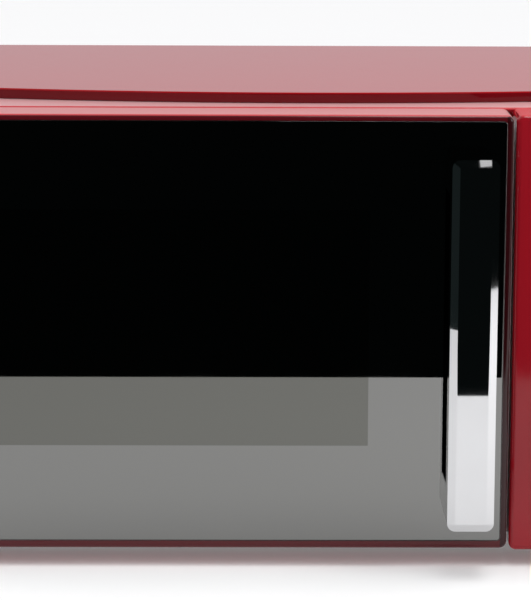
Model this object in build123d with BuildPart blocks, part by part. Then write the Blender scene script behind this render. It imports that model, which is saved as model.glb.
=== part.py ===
"""Compact microwave oven of the 17-litre class: swing door with a mirrored glass face and a pull handle.

Frame: +Z up, the front faces -Y, and +X is to the right as seen from the front. The origin is on the
surface the oven stands on, under the middle of its outer box. All lengths are in millimetres.
"""

from build123d import *
import math
import os

# ---- driving dimensions ------------------------------------------------------------------------
CABINET_WIDTH = 456.0
CABINET_TOP = 258.4  # height of the top skin above the table
FOOT_HEIGHT = 10.0
SHEET = 1.0  # steel skin of the cabinet
GLASS_FACE_Y = -158.0  # front plane of the door glass and of the control fascia
CABINET_BACK_Y = 182.0
LIP_MIDDLE_Y = -106.0  # front edge of the top skin in the middle of the oven
LIP_SIDE_Y = -70.5  # the same edge at the two sides
LIP_DEPTH = 5.8
CABINET_CORNER = 8.0

FRONT_HALF_WIDTH = 222.8  # half width of the door and fascia together
LEDGE_TOP = 252.3  # upper face of the surround that shows in front of the lip
SURROUND_FRONT_Y = -124.0
SURROUND_BACK_Y = -58.0
SURROUND_WALL = 2.5

DOOR_LEFT = -222.8
DOOR_RIGHT = 111.6
DOOR_BOTTOM = 10.5
DOOR_TOP = 251.8
DOOR_BACK_Y = -125.0
DOOR_WALL = 2.5
HINGE_X = DOOR_LEFT + 6.5
HINGE_Y = DOOR_BACK_Y - 6.5
PIN_RADIUS = 2.5
RUNNING_FIT = 0.05

GLASS_LEFT, GLASS_RIGHT = -219.8, 107.9
GLASS_BOTTOM, GLASS_TOP = 15.0, 248.8
GLASS_THICK = 4.0
WINDOW_X = (-172.0, 34.0)
WINDOW_Z = (69.0, 200.0)

HANDLE_X = (76.1, 101.5)
HANDLE_MIDDLE_X = sum(HANDLE_X) / 2
HANDLE_Z = (28.2, 231.4)
HANDLE_FRONT_Y = -190.0
HANDLE_THICK = 15.0
HANDLE_END = 24.8  # length of the solid end that reaches back to the glass
HANDLE_POST_Z = (HANDLE_Z[0] + HANDLE_END / 2, HANDLE_Z[1] - HANDLE_END / 2)
BEVEL_WIDTH, BEVEL_DEPTH = 4.2, 2.1  # flat bevel round the front face of the handle

FASCIA_LEFT = 112.8
FASCIA_BOTTOM = 9.6

CAVITY_X = (-206.0, 84.0)
CAVITY_Y = (-120.8, 164.0)
CAVITY_Z = (30.0, 235.0)
CAVITY_WALL = 0.8
TURN_X = (CAVITY_X[0] + CAVITY_X[1]) / 2
TURN_Y = (CAVITY_Y[0] + CAVITY_Y[1]) / 2
PLATE_RADIUS = 122.5
ROLLER_RADIUS = 7.0
ROLLER_TRACK = 90.0  # radius of the circle the rollers run on

FAN_X, FAN_Z = 160.0, 190.0
TUBE_Y, TUBE_Z = 20.0, 190.0  # axis of the magnetron, which points along X

LATCH_X = 96.0
LATCH_Z = (58.0, 213.0)

DIAL_X, DIAL_Z = 168.0, 88.0
BUTTONS = {
    "menu_button": (147.0, 172.0),
    "defrost_button": (189.0, 172.0),
    "power_button": (147.0, 148.0),
    "clock_button": (189.0, 148.0),
    "stop_button": (147.0, 42.0),
    "start_button": (189.0, 42.0),
}
BUTTON_SIZE = (34.0, 14.0)

FOOT_PLACES = [(x, y) for x in (-175.0, 175.0) for y in (-85.0, 145.0)]
REAR_SCREWS = ((-150, 251), (0, 251), (150, 251), (-220, 60), (220, 60), (-220, 180), (220, 180))
CORD_X, CORD_Z = 196.0, 48.0  # where the supply cord leaves the back

CENTRE_MIN = (Align.CENTER, Align.CENTER, Align.MIN)


# ---- helpers -----------------------------------------------------------------------------------
def block(x, y, z, mode=Mode.ADD):
    """A box between the given low and high x, y and z, in the part being built."""
    with Locations(((x[0] + x[1]) / 2, (y[0] + y[1]) / 2, (z[0] + z[1]) / 2)):
        Box(x[1] - x[0], y[1] - y[0], z[1] - z[0], mode=mode)


def rod(start, direction, radius, length, mode=Mode.ADD):
    """A round bar that starts at a point and runs along a direction."""
    with Locations(Plane(origin=start, z_dir=direction).location):
        Cylinder(radius, length, align=CENTRE_MIN, mode=mode)


def rounded_slab(x, y, z, corner, mode=Mode.ADD):
    """A plate seen from the front as a rectangle with round corners, between two y planes."""
    front = Plane(origin=((x[0] + x[1]) / 2, y[1], (z[0] + z[1]) / 2), x_dir=(1, 0, 0), z_dir=(0, -1, 0))
    with BuildSketch(front) as profile:
        RectangleRounded(x[1] - x[0], z[1] - z[0], corner)
    extrude(profile.sketch, amount=y[1] - y[0], mode=mode)


def slots(centre, direction, columns, rows, pitch, size, depth):
    """Cuts a grid of round-ended slots into a sheet, centred on a point of its outer face."""
    across = (1, 0, 0) if abs(direction[1]) > 0 else (0, 1, 0)
    if abs(direction[2]) > 0:
        across = (1, 0, 0)
    with BuildSketch(Plane(origin=centre, x_dir=across, z_dir=direction)) as profile:
        with GridLocations(pitch[0], pitch[1], columns, rows):
            SlotOverall(size[0], size[1], rotation=90)
    extrude(profile.sketch, amount=-depth, mode=Mode.SUBTRACT)


def holes(centre, direction, columns, rows, pitch, radius, depth):
    """Cuts a grid of round perforations into a sheet."""
    with BuildSketch(Plane(origin=centre, x_dir=(0, 1, 0), z_dir=direction)) as profile:
        with GridLocations(pitch, pitch, columns, rows):
            Circle(radius)
    extrude(profile.sketch, amount=-depth, mode=Mode.SUBTRACT)


pieces = {}

# ---- casing ------------------------------------------------------------------------------------
HALF = CABINET_WIDTH / 2
INNER_HALF = HALF - SHEET - 0.6  # half width of the sheet parts inside the skin
BASE_SHEET = 1.2


def wrap_solid(inset, back):
    """The full volume under the cabinet skin, with its bowed front, moved in by the inset."""
    half = HALF - inset
    with BuildSketch(Plane.XY.offset(FOOT_HEIGHT)) as plan:
        with BuildLine():
            Polyline((half, LIP_SIDE_Y + inset), (half, back), (-half, back), (-half, LIP_SIDE_Y + inset))
            ThreePointArc(
                (-half, LIP_SIDE_Y + inset),
                (0, LIP_MIDDLE_Y + inset),
                (half, LIP_SIDE_Y + inset),
            )
        make_face()
    extrude(plan.sketch, amount=CABINET_TOP - FOOT_HEIGHT - inset)
    with BuildSketch(Plane.XZ.offset(-CABINET_BACK_Y - 20)) as profile:
        with Locations((0, (CABINET_TOP - inset + FOOT_HEIGHT) / 2 - 20)):
            RectangleRounded(2 * half, CABINET_TOP - inset - FOOT_HEIGHT + 40, CABINET_CORNER - inset)
    extrude(profile.sketch, amount=400, mode=Mode.INTERSECT)


with BuildPart() as wrap_hollow:
    wrap_solid(SHEET, CABINET_BACK_Y - SHEET)

with BuildPart() as outer_cabinet:
    wrap_solid(0, CABINET_BACK_Y)
    add(wrap_hollow.part, mode=Mode.SUBTRACT)
    front_x = (-FRONT_HALF_WIDTH, FRONT_HALF_WIDTH)
    block(front_x, (-140, SURROUND_BACK_Y), (0, CABINET_TOP - LIP_DEPTH), Mode.SUBTRACT)
    block((-214, 214), (CABINET_BACK_Y - 4, CABINET_BACK_Y + 4), (0, 245), Mode.SUBTRACT)
    for side in (-1, 1):
        for low in (52.0, 84.0):
            slots((side * HALF, 90, low), (side, 0, 0), 15, 1, (7.0, 1), (24, 3.2), 3)
    for x, z in REAR_SCREWS:
        rod((x, CABINET_BACK_Y - 4, z), (0, 1, 0), 2.2, 8, Mode.SUBTRACT)
pieces["outer_cabinet"] = outer_cabinet

with BuildPart() as base_pan:
    floor_z = (FOOT_HEIGHT, FOOT_HEIGHT + BASE_SHEET)
    tongue = FRONT_HALF_WIDTH - 0.5
    block((-INNER_HALF, INNER_HALF), (SURROUND_BACK_Y, 178.5), floor_z)
    block((-tongue, tongue), (-122, SURROUND_BACK_Y), floor_z)
    for side in (-1, 1):
        flange_x = sorted((side * (INNER_HALF - BASE_SHEET), side * INNER_HALF))
        block(flange_x, (SURROUND_BACK_Y + 1, 178.5), (FOOT_HEIGHT, FOOT_HEIGHT + 12))
    block((-INNER_HALF, INNER_HALF), (178.5 - BASE_SHEET, 178.5), (FOOT_HEIGHT, FOOT_HEIGHT + 12))
    slots((150, 60, FOOT_HEIGHT), (0, 0, -1), 12, 3, (9.0, 34.0), (26, 4), 3)
    slots((TURN_X, 110, FOOT_HEIGHT), (0, 0, -1), 14, 1, (9.0, 34.0), (26, 4), 3)
    for x, y in FOOT_PLACES:
        rod((x, y, FOOT_HEIGHT - 2), (0, 0, 1), 2.2, 6, Mode.SUBTRACT)
pieces["base_pan"] = base_pan

REAR_Y = (179.6, 180.8)
with BuildPart() as rear_panel:
    rounded_slab((-INNER_HALF, INNER_HALF), REAR_Y, (11.6, 256.6), 7.2)
    for x in (-120, 120):
        rod((x, REAR_Y[1] - 0.5, 225), (0, 1, 0), 9, 9.7)
    slots((FAN_X, REAR_Y[1], FAN_Z), (0, 1, 0), 11, 3, (7.0, 27.0), (22, 3.6), 3)
    slots((-130, REAR_Y[1], 190), (0, 1, 0), 16, 2, (7.0, 27.0), (22, 3.6), 3)
    slots((TURN_X, REAR_Y[1], 40), (0, 1, 0), 16, 1, (7.0, 27.0), (16, 3.6), 3)
    for x, z in REAR_SCREWS:
        rod((x, REAR_Y[0] - 2, z), (0, 1, 0), 2.0, 6, Mode.SUBTRACT)
    rod((CORD_X, REAR_Y[0] - 2, CORD_Z), (0, 1, 0), 7.0, 6, Mode.SUBTRACT)
pieces["rear_panel"] = rear_panel

with BuildPart() as cabinet_screws:
    for x, z in REAR_SCREWS:
        rod((x, 172, z), (0, 1, 0), 1.9, 11)
        rod((x, CABINET_BACK_Y, z), (0, 1, 0), 4.2, 2.4)
        with Locations((x, CABINET_BACK_Y + 2.4, z)):
            Box(5.0, 2.0, 1.1, mode=Mode.SUBTRACT)
            Box(1.1, 2.0, 5.0, mode=Mode.SUBTRACT)
pieces["cabinet_screws"] = cabinet_screws

with BuildPart() as feet:
    for x, y in FOOT_PLACES:
        with Locations((x, y, 0)):
            Cone(9.5, 12.5, FOOT_HEIGHT, align=CENTRE_MIN)
        rod((x, y, 0), (0, 0, 1), 4.5, 3, Mode.SUBTRACT)
        rod((x, y, FOOT_HEIGHT), (0, 0, 1), 2.0, 1.4)
    ground_edges = feet.edges().filter_by(GeomType.CIRCLE).group_by(Axis.Z)[0]
    fillet(ground_edges.filter_by(lambda edge: edge.radius > 9), 1.5)
pieces["feet"] = feet

with BuildPart() as cord_gland:
    rod((CORD_X, REAR_Y[0] - 4, CORD_Z), (0, 1, 0), 6.9, 9)
    rod((CORD_X, REAR_Y[0] - 5, CORD_Z), (0, 1, 0), 9.5, 3.5)
    rod((CORD_X, REAR_Y[1] + 0.1, CORD_Z), (0, 1, 0), 9.5, 3.0)
    rod((CORD_X, REAR_Y[0] - 6, CORD_Z), (0, 1, 0), 3.6, 20, Mode.SUBTRACT)
    chamfer(cord_gland.edges().filter_by(GeomType.CIRCLE).sort_by(Axis.Y)[-1], 0.8)
pieces["cord_gland"] = cord_gland

with BuildPart() as front_surround:
    surround_z = (11.5, LEDGE_TOP)
    width = FRONT_HALF_WIDTH - 0.3
    rounded_slab((-width, width), (SURROUND_FRONT_Y, SURROUND_BACK_Y), surround_z, 5.0)
    fillet(front_surround.edges().group_by(Axis.Y)[0], 1.5)
    inner = width - SURROUND_WALL
    rounded_slab(
        (-inner, inner),
        (SURROUND_FRONT_Y - 1, SURROUND_BACK_Y + 1),
        (surround_z[0] + SURROUND_WALL, surround_z[1] - SURROUND_WALL),
        3.0,
        Mode.SUBTRACT,
    )
pieces["front_surround"] = front_surround

PLATE_Y = (-122.0, CAVITY_Y[0])
with BuildPart() as front_plate:
    edge = inner - 0.3
    rounded_slab((-edge, edge), PLATE_Y, (14.2, 249.6), 2.8)
    rounded_slab(CAVITY_X, (PLATE_Y[0] - 1, PLATE_Y[1] + 1), CAVITY_Z, 4.0, Mode.SUBTRACT)
    rounded_slab((118, 214), (PLATE_Y[0] - 1, PLATE_Y[1] + 1), (22, 242), 3.0, Mode.SUBTRACT)
    for z in LATCH_Z:
        block((LATCH_X - 5, LATCH_X + 5), (PLATE_Y[0] - 1, PLATE_Y[1] + 1), (z - 9, z + 12), Mode.SUBTRACT)
pieces["front_plate"] = front_plate

# ---- cooking cavity and turntable --------------------------------------------------------------
with BuildPart() as oven_cavity:
    rounded_slab(
        (CAVITY_X[0] - CAVITY_WALL, CAVITY_X[1] + CAVITY_WALL),
        (CAVITY_Y[0], CAVITY_Y[1] + CAVITY_WALL),
        (CAVITY_Z[0] - CAVITY_WALL, CAVITY_Z[1] + CAVITY_WALL),
        4.8,
    )
    rounded_slab(CAVITY_X, (CAVITY_Y[0] - 1, CAVITY_Y[1]), CAVITY_Z, 4.0, Mode.SUBTRACT)
    rod((TURN_X, TURN_Y, CAVITY_Z[0] - 3), (0, 0, 1), 7.0, 6, Mode.SUBTRACT)
    block((CAVITY_X[1] - 2, CAVITY_X[1] + 3), (-8, 48), (128, 166), Mode.SUBTRACT)
    right = (CAVITY_X[1] + CAVITY_WALL, 112, 205)
    holes(right, (1, 0, 0), 9, 6, 4.2, 1.4, 3)
    holes((right[0], 128, 80), (1, 0, 0), 10, 8, 4.2, 1.4, 3)
    holes((CAVITY_X[0] - CAVITY_WALL, 110, 190), (-1, 0, 0), 12, 8, 4.2, 1.4, 3)
pieces["oven_cavity"] = oven_cavity

with BuildPart() as waveguide_cover:
    block((CAVITY_X[1] - 0.7, CAVITY_X[1] - 0.1), (-24, 62), (112, 184))
    fillet(waveguide_cover.edges().filter_by(Axis.X), 5)
    for y, z in ((-18, 118), (56, 118), (19, 178)):
        rod((CAVITY_X[1] - 2.6, y, z), (1, 0, 0), 4.0, 2.0)
pieces["waveguide_cover"] = waveguide_cover

GUIDE_X = (CAVITY_X[1] + CAVITY_WALL, 106.0)
with BuildPart() as waveguide:
    block(GUIDE_X, (-26, 66), (118, 232))
    block((GUIDE_X[0] - 1, GUIDE_X[1] - 1), (-20, 60), (124, 226), Mode.SUBTRACT)
    rod((GUIDE_X[1] - 3, TUBE_Y, TUBE_Z), (1, 0, 0), 12, 6, Mode.SUBTRACT)
pieces["waveguide"] = waveguide

with BuildPart() as turntable_motor:
    rod((TURN_X, TURN_Y, 12.5), (0, 0, 1), 24.5, 14.5)
    fillet(turntable_motor.edges().filter_by(GeomType.CIRCLE), 1.2)
    for side in (-1, 1):
        block(sorted((TURN_X + side * 22, TURN_X + side * 34)), (TURN_Y - 4, TURN_Y + 4), (25.6, 27))
pieces["turntable_motor"] = turntable_motor

with BuildPart() as drive_coupler:
    rod((TURN_X, TURN_Y, 27.2), (0, 0, 1), 4.2, 6)
    rod((TURN_X, TURN_Y, 31.0), (0, 0, 1), 11.0, 6)
    rod((TURN_X, TURN_Y, 37.0), (0, 0, 1), 5.0, 6.8)
    for turn in range(3):
        angle = math.radians(120 * turn + 30)
        rod(
            (TURN_X + 10 * math.cos(angle), TURN_Y + 10 * math.sin(angle), 31.0),
            (0, 0, 1),
            5.5,
            12.8,
        )
pieces["drive_coupler"] = drive_coupler

RING_Z = (33.0, 38.0)
with BuildPart() as roller_ring:
    with BuildSketch(Plane.XY.offset(RING_Z[0])):
        with Locations((TURN_X, TURN_Y)):
            Circle(ROLLER_TRACK - 8)
            Circle(ROLLER_TRACK - 16, mode=Mode.SUBTRACT)
    extrude(amount=RING_Z[1] - RING_Z[0])
    fillet(roller_ring.edges().filter_by(GeomType.CIRCLE), 1.2)
    for turn in range(3):
        angle = math.radians(120 * turn + 90)
        out = (math.cos(angle), math.sin(angle), 0)
        start = ROLLER_TRACK - 10
        axle_z = CAVITY_Z[0] + ROLLER_RADIUS
        rod((TURN_X + start * out[0], TURN_Y + start * out[1], axle_z), out, 2.5, 16)
pieces["roller_ring"] = roller_ring

for turn in range(3):
    angle = math.radians(120 * turn + 90)
    out = (math.cos(angle), math.sin(angle), 0)
    start = ROLLER_TRACK - 4
    axle_z = CAVITY_Z[0] + ROLLER_RADIUS
    with BuildPart() as roller:
        hub = (TURN_X + start * out[0], TURN_Y + start * out[1], axle_z)
        rod(hub, out, ROLLER_RADIUS - 0.1, 8)
        fillet(roller.edges().filter_by(GeomType.CIRCLE), 1.0)
        rod(hub, out, 2.5 + RUNNING_FIT, 8, Mode.SUBTRACT)
    pieces[f"roller_{turn + 1}"] = roller

PLATE_Z = CAVITY_Z[0] + 2 * ROLLER_RADIUS + 0.4
with BuildPart() as glass_turntable:
    with BuildSketch(Plane.XZ.offset(-TURN_Y)):
        with BuildLine():
            Polyline(
                (TURN_X, PLATE_Z),
                (TURN_X + PLATE_RADIUS - 14, PLATE_Z),
                (TURN_X + PLATE_RADIUS, PLATE_Z + 12),
                (TURN_X + PLATE_RADIUS, PLATE_Z + 15),
                (TURN_X + PLATE_RADIUS - 4, PLATE_Z + 15),
                (TURN_X + PLATE_RADIUS - 16, PLATE_Z + 4.2),
                (TURN_X, PLATE_Z + 4.2),
                (TURN_X, PLATE_Z),
            )
        make_face()
    revolve(axis=Axis((TURN_X, TURN_Y, 0), (0, 0, 1)))
    fillet(glass_turntable.edges().group_by(Axis.Z)[-1], 1.4)
pieces["glass_turntable"] = glass_turntable

# ---- lamp, microwave source and power supply ---------------------------------------------------
LAMP_X, LAMP_Z = 96.0, 205.0
with BuildPart() as oven_lamp:
    rod((LAMP_X, 100, LAMP_Z), (0, 1, 0), 8.5, 24)
    fillet(oven_lamp.edges().filter_by(GeomType.CIRCLE).group_by(Axis.Y)[0], 8.0)
pieces["oven_lamp"] = oven_lamp

with BuildPart() as lamp_socket:
    rod((LAMP_X, 124, LAMP_Z), (0, 1, 0), 9.5, 22)
    block((LAMP_X - 10.8, LAMP_X - 9), (118, 150), (LAMP_Z - 16, LAMP_Z + 16))
pieces["lamp_socket"] = lamp_socket

YOKE_X = (107.0, 176.0)
with BuildPart() as magnetron_yoke:
    block(YOKE_X, (TUBE_Y - 42, TUBE_Y + 42), (TUBE_Z - 36, TUBE_Z + 36))
    window_y, window_z = (TUBE_Y - 50, TUBE_Y + 50), (TUBE_Z - 34, TUBE_Z + 34)
    block((YOKE_X[0] + 2, YOKE_X[1] - 2), window_y, window_z, Mode.SUBTRACT)
    block((YOKE_X[1], YOKE_X[1] + 30), (TUBE_Y - 30, TUBE_Y + 30), (TUBE_Z - 30, TUBE_Z + 30))
    filter_y, filter_z = (TUBE_Y - 29, TUBE_Y + 29), (TUBE_Z - 29, TUBE_Z + 29)
    block((YOKE_X[1] + 1, YOKE_X[1] + 29), filter_y, filter_z, Mode.SUBTRACT)
    rod((YOKE_X[0] - 2, TUBE_Y, TUBE_Z), (1, 0, 0), 11.5, 6, Mode.SUBTRACT)
    rod((YOKE_X[1] - 4, TUBE_Y, TUBE_Z), (1, 0, 0), 9, 8, Mode.SUBTRACT)
pieces["magnetron_yoke"] = magnetron_yoke

with BuildPart() as magnetron_anode:
    rod((YOKE_X[0] + 12, TUBE_Y, TUBE_Z), (1, 0, 0), 19, 42)
    rod((YOKE_X[0] - 14, TUBE_Y, TUBE_Z), (1, 0, 0), 8, 84)
    for fin in range(9):
        x = YOKE_X[0] + 15 + 4.2 * fin
        block((x, x + 0.8), (TUBE_Y - 40, TUBE_Y + 40), (TUBE_Z - 32, TUBE_Z + 32))
    for x in (YOKE_X[0] + 2.2, YOKE_X[1] - 14.2):
        rod((x, TUBE_Y, TUBE_Z), (1, 0, 0), 27, 9.6)
pieces["magnetron_anode"] = magnetron_anode

with BuildPart() as thermal_cutout:
    rod((150, TUBE_Y, TUBE_Z + 36), (0, 0, 1), 8, 6)
    block((138, 162), (TUBE_Y - 3, TUBE_Y + 3), (TUBE_Z + 36, TUBE_Z + 37))
pieces["thermal_cutout"] = thermal_cutout

CORE_X, CORE_Y, CORE_Z = (118.0, 210.0), (-54.0, 16.0), (13.0, 86.0)
with BuildPart() as transformer_core:
    block(CORE_X, CORE_Y, CORE_Z)
    gap_y = (CORE_Y[0] - 1, CORE_Y[1] + 1)
    gap_z = (CORE_Z[0] + 13, CORE_Z[1] - 13)
    block((CORE_X[0] + 15, CORE_X[0] + 32), gap_y, gap_z, Mode.SUBTRACT)
    block((CORE_X[1] - 32, CORE_X[1] - 15), gap_y, gap_z, Mode.SUBTRACT)
    block((CORE_X[0] - 9, CORE_X[1] + 9), CORE_Y, (11.4, CORE_Z[0]))
pieces["transformer_core"] = transformer_core

with BuildPart() as transformer_windings:
    for low, high in ((CORE_Z[0] + 14, CORE_Z[0] + 35), (CORE_Z[0] + 38, CORE_Z[1] - 14)):
        block((CORE_X[0] + 15.5, CORE_X[1] - 15.5), (CORE_Y[0] - 17, CORE_Y[1] + 17), (low, high))
    fillet(transformer_windings.edges().filter_by(Axis.Z), 14)
    limb_y = (CORE_Y[0] - 0.5, CORE_Y[1] + 0.5)
    block((CORE_X[0] + 31.5, CORE_X[1] - 31.5), limb_y, CORE_Z, Mode.SUBTRACT)
pieces["transformer_windings"] = transformer_windings

with BuildPart() as hv_capacitor:
    with BuildSketch(Plane.XZ.offset(-44)):
        with Locations((130, 33)):
            SlotOverall(54, 34)
    extrude(amount=-86)
    for side in (-1, 1):
        block((130 + side * 11 - 3, 130 + side * 11 + 3), (35, 44), (32.6, 33.4))
pieces["hv_capacitor"] = hv_capacitor

with BuildPart() as hv_diode:
    rod((118, 46, 58), (1, 0, 0), 3.2, 24)
    rod((110, 46, 58), (1, 0, 0), 0.6, 40)
pieces["hv_diode"] = hv_diode

# ---- cooling fan -------------------------------------------------------------------------------
with BuildPart() as fan_shroud:
    block((108, 216), (142, 178), (138, 242))
    block((110, 214), (140, 175.5), (140, 240), Mode.SUBTRACT)
    rod((FAN_X, 170, FAN_Z), (0, 1, 0), 47, 12, Mode.SUBTRACT)
    for side in (-1, 1):
        block((FAN_X - 50, FAN_X + 54), (143, 146), (FAN_Z + side * 16 - 2, FAN_Z + side * 16 + 2))
    rod((FAN_X, 130, FAN_Z), (0, 1, 0), 6, 30, Mode.SUBTRACT)
pieces["fan_shroud"] = fan_shroud

with BuildPart() as fan_motor:
    block((FAN_X - 30, FAN_X + 30), (120, 138), (FAN_Z - 22, FAN_Z + 22))
    rod((FAN_X, 114, FAN_Z), (0, 1, 0), 14, 28)
    rod((FAN_X - 24, 112, FAN_Z), (0, 1, 0), 5, 8)
pieces["fan_motor"] = fan_motor

with BuildPart() as fan_blade:
    rod((FAN_X, 152, FAN_Z), (0, 1, 0), 12, 18)
    rod((FAN_X, 142.5, FAN_Z), (0, 1, 0), 2.0, 12)
    for turn in range(5):
        angle = math.radians(72 * turn)
        pitch = math.radians(30)
        across = math.sin(pitch)
        blade = Plane(
            origin=(FAN_X, 161, FAN_Z),
            x_dir=(math.cos(angle), 0, math.sin(angle)),
            z_dir=(across * math.sin(angle), -math.cos(pitch), -across * math.cos(angle)),
        )
        with BuildSketch(blade):
            with Locations((26.5, 0)):
                RectangleRounded(32, 26, 6)
        extrude(amount=1.6)
pieces["fan_blade"] = fan_blade

with BuildPart() as air_duct:
    block((108, 216), (66, 141.5), (138, 242))
    block((109.5, 214.5), (60, 150), (139.5, 240.5), Mode.SUBTRACT)
pieces["air_duct"] = air_duct

with BuildPart() as filter_board:
    block((112, 184), (172, 173.6), (62, 122))
    rod((130, 160, 100), (0, 1, 0), 10, 12)
    block((145, 172), (158, 172), (88, 114))
    block((118, 146), (164, 172), (68, 80))
    rod((150, 166, 74), (1, 0, 0), 3, 26)
    for z in (66, 118):
        rod((116, 173.6, z), (0, 1, 0), 3, 6)
        rod((180, 173.6, z), (0, 1, 0), 3, 6)
pieces["filter_board"] = filter_board

# ---- interlock ---------------------------------------------------------------------------------
with BuildPart() as interlock_bracket:
    block((104, 107), (-120, -84), (40, 232))
    for z in LATCH_Z:
        block((LATCH_X - 8, 104), (-119.5, -117.5), (z - 16, z - 10))
        block((LATCH_X - 8, 104), (-98, -86), (z - 14, z - 12))
        block((LATCH_X - 8, 104), (-98, -86), (z + 12.4, z + 14.4))
pieces["interlock_bracket"] = interlock_bracket

with BuildPart() as interlock_switches:
    for z in LATCH_Z:
        block((LATCH_X - 5.5, LATCH_X + 5.5), (-98, -81), (z - 12, z + 12))
        block((LATCH_X - 2, LATCH_X + 2), (-99.5, -98), (z - 3, z + 1))
    block((108.2, 118.2), (-112, -95), (LATCH_Z[0] - 12, LATCH_Z[0] + 14))
pieces["interlock_switches"] = interlock_switches

# ---- controls ----------------------------------------------------------------------------------
FASCIA_FACE_Y = GLASS_FACE_Y
FASCIA_FLOOR_Y = GLASS_FACE_Y + 4.0
INSERT_X, INSERT_Z = (125.5, 210.5), (22.5, 239.5)
INSERT_Y = (-159.0, -156.5)
LENS_X, LENS_Z = (135.0, 201.0), (194.0, 228.0)

with BuildPart() as control_fascia:
    fascia_z = (FASCIA_BOTTOM, DOOR_TOP)
    rounded_slab((FASCIA_LEFT, FRONT_HALF_WIDTH), (FASCIA_FACE_Y, SURROUND_FRONT_Y), fascia_z, 4.0)
    fillet(control_fascia.edges().group_by(Axis.Y)[0], 3.0)
    rounded_slab(
        (FASCIA_LEFT + 2.5, FRONT_HALF_WIDTH - 2.5),
        (FASCIA_FLOOR_Y, SURROUND_FRONT_Y + 1),
        (FASCIA_BOTTOM + 2.5, DOOR_TOP - 2.5),
        2.0,
        Mode.SUBTRACT,
    )
    rounded_slab(
        (INSERT_X[0] - 0.2, INSERT_X[1] + 0.2),
        (FASCIA_FACE_Y - 2, INSERT_Y[1]),
        (INSERT_Z[0] - 0.2, INSERT_Z[1] + 0.2),
        6.2,
        Mode.SUBTRACT,
    )
    block((LENS_X[0] + 2, LENS_X[1] - 2), (-160, -150), (LENS_Z[0] + 2, LENS_Z[1] - 2), Mode.SUBTRACT)
    for x, z in BUTTONS.values():
        block(
            (x - BUTTON_SIZE[0] / 2 - 0.6, x + BUTTON_SIZE[0] / 2 + 0.6),
            (-160, -150),
            (z - BUTTON_SIZE[1] / 2 - 0.6, z + BUTTON_SIZE[1] / 2 + 0.6),
            Mode.SUBTRACT,
        )
    rod((DIAL_X, -160, DIAL_Z), (0, 1, 0), 5, 10, Mode.SUBTRACT)
pieces["control_fascia"] = control_fascia

with BuildPart() as control_insert:
    rounded_slab(INSERT_X, INSERT_Y, INSERT_Z, 6.0)
    fillet(control_insert.edges().group_by(Axis.Y)[0], 0.8)
    rounded_slab(LENS_X, (-160, -156), LENS_Z, 3.0, Mode.SUBTRACT)
    for x, z in BUTTONS.values():
        rounded_slab(
            (x - BUTTON_SIZE[0] / 2 - 0.4, x + BUTTON_SIZE[0] / 2 + 0.4),
            (-160, -156),
            (z - BUTTON_SIZE[1] / 2 - 0.4, z + BUTTON_SIZE[1] / 2 + 0.4),
            3.4,
            Mode.SUBTRACT,
        )
    rod((DIAL_X, -160, DIAL_Z), (0, 1, 0), 5, 10, Mode.SUBTRACT)
pieces["control_insert"] = control_insert

with BuildPart() as display_lens:
    rounded_slab(
        (LENS_X[0] + 0.1, LENS_X[1] - 0.1),
        (-159.2, -156.6),
        (LENS_Z[0] + 0.1, LENS_Z[1] - 0.1),
        2.9,
    )
    fillet(display_lens.edges().group_by(Axis.Y)[0], 0.5)
pieces["display_lens"] = display_lens

BOARD_Y = (-147.0, -145.4)
with BuildPart() as control_board:
    block((120, 216), BOARD_Y, (20, 242))
    block((126, 146), (-145.4, -130), (40, 68))
    block((150, 168), (-145.4, -132), (44, 62))
    block((176, 206), (-145.4, -127), (100, 136))
pieces["control_board"] = control_board

with BuildPart() as display_module:
    block((LENS_X[0] + 3, LENS_X[1] - 3), (-156.0, BOARD_Y[0]), (LENS_Z[0] + 3, LENS_Z[1] - 3))
pieces["display_module"] = display_module

with BuildPart() as push_switches:
    for x, z in BUTTONS.values():
        block((x - 3, x + 3), (-149.5, BOARD_Y[0]), (z - 3, z + 3))
        rod((x, -150.4, z), (0, 1, 0), 1.7, 1)
pieces["push_switches"] = push_switches

with BuildPart() as encoder:
    block((DIAL_X - 7, DIAL_X + 7), (-153.5, BOARD_Y[0]), (DIAL_Z - 7, DIAL_Z + 7))
    rod((DIAL_X, -155, DIAL_Z), (0, 1, 0), 3.0 + RUNNING_FIT, 7, Mode.SUBTRACT)
pieces["encoder"] = encoder

with BuildPart() as control_dial:
    rod((DIAL_X, -176, DIAL_Z), (0, 1, 0), 21.0, 16.4)
    fillet(control_dial.edges().filter_by(GeomType.CIRCLE).group_by(Axis.Y)[0], 2.0)
    for turn in range(24):
        angle = math.radians(15 * turn)
        rod(
            (DIAL_X + 21.6 * math.cos(angle), -172, DIAL_Z + 21.6 * math.sin(angle)),
            (0, 1, 0),
            1.2,
            13,
            Mode.SUBTRACT,
        )
    rod((DIAL_X, -160.0, DIAL_Z), (0, 1, 0), 3.0, 11)
    block((DIAL_X - 0.9, DIAL_X + 0.9), (-177, -175.4), (DIAL_Z + 8, DIAL_Z + 18), Mode.SUBTRACT)
pieces["control_dial"] = control_dial

for name, (x, z) in BUTTONS.items():
    with BuildPart() as button:
        rounded_slab(
            (x - BUTTON_SIZE[0] / 2, x + BUTTON_SIZE[0] / 2),
            (-160.6, -153.4),
            (z - BUTTON_SIZE[1] / 2, z + BUTTON_SIZE[1] / 2),
            3.0,
        )
        fillet(button.edges().group_by(Axis.Y)[0], 0.8)
        rounded_slab(
            (x - BUTTON_SIZE[0] / 2 - 2, x + BUTTON_SIZE[0] / 2 + 2),
            (-153.7, -152.2),
            (z - BUTTON_SIZE[1] / 2 - 2, z + BUTTON_SIZE[1] / 2 + 2),
            3.0,
        )
    pieces[name] = button

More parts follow.
